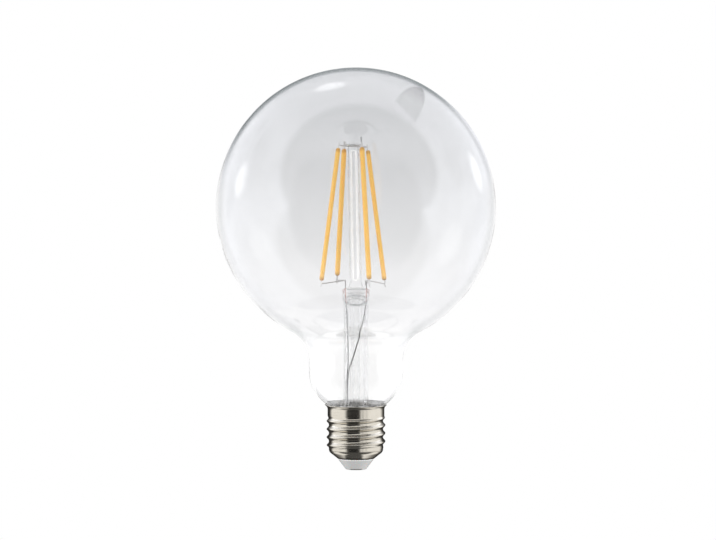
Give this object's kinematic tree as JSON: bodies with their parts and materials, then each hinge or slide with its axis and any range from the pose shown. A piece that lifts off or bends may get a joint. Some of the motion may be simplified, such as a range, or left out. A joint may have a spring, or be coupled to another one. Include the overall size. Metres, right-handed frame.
{
  "type": "globe bulb",
  "caption": "Clear glass globe lamp with straight upright filaments on a glass stem and a threaded metal screw cap.",
  "frame": {"origin": "centre of the cap's contact face, on the lamp's axis, which is the lamp's lowest point", "axes": "+Z along the lamp's axis from the contact to the globe's crown; -Y is the front seen in the picture"},
  "size_m": [0.125, 0.125, 0.18],
  "materials": {
    "clear_glass": "blown clear glass, smooth and glossy",
    "stem_glass": "drawn and pressed clear glass",
    "phosphor": "amber silicone with phosphor, unlit, satin",
    "nickel_plate": "bright warm nickel plate on rolled brass sheet",
    "wire_nickel": "drawn nickel-iron wire, satin",
    "insulator_plastic": "pale grey moulded plastic, half gloss",
    "contact_metal": "dull grey plated rivet",
    "cement": "grey capping cement, rough",
    "board_laminate": "pale laminate board",
    "chip_black": "black moulded package",
    "capacitor_can": "bright aluminium can",
    "resistor_coat": "green lacquered resistor body"
  },
  "bodies": {
    "root": {"bridge_rectifier": "chip_black", "cap_cement": "cement", "cap_shell": "nickel_plate", "centre_contact": "contact_metal", "chip_resistor_1": "chip_black", "chip_resistor_2": "chip_black", "driver_board": "board_laminate", "driver_chip": "chip_black", "exhaust_tube": "stem_glass", "filament_1": "phosphor", "filament_2": "phosphor", "filament_3": "phosphor", "filament_4": "phosphor", "filament_tab_foot_1": "wire_nickel", "filament_tab_foot_2": "wire_nickel", "filament_tab_foot_3": "wire_nickel", "filament_tab_foot_4": "wire_nickel", "filament_tab_top_1": "wire_nickel", "filament_tab_top_2": "wire_nickel", "filament_tab_top_3": "wire_nickel", "filament_tab_top_4": "wire_nickel", "flare_stem": "stem_glass", "fusible_resistor": "resistor_coat", "glass_globe": "clear_glass", "insulator": "insulator_plastic", "lead_branch_left": "wire_nickel", "lead_branch_right": "wire_nickel", "lead_wire_left": "wire_nickel", "lead_wire_right": "wire_nickel", "shell_wire": "wire_nickel", "smoothing_capacitor": "capacitor_can", "stem_post": "stem_glass", "support_wire_a": "wire_nickel", "support_wire_b": "wire_nickel"}
  },
  "joints": []
}
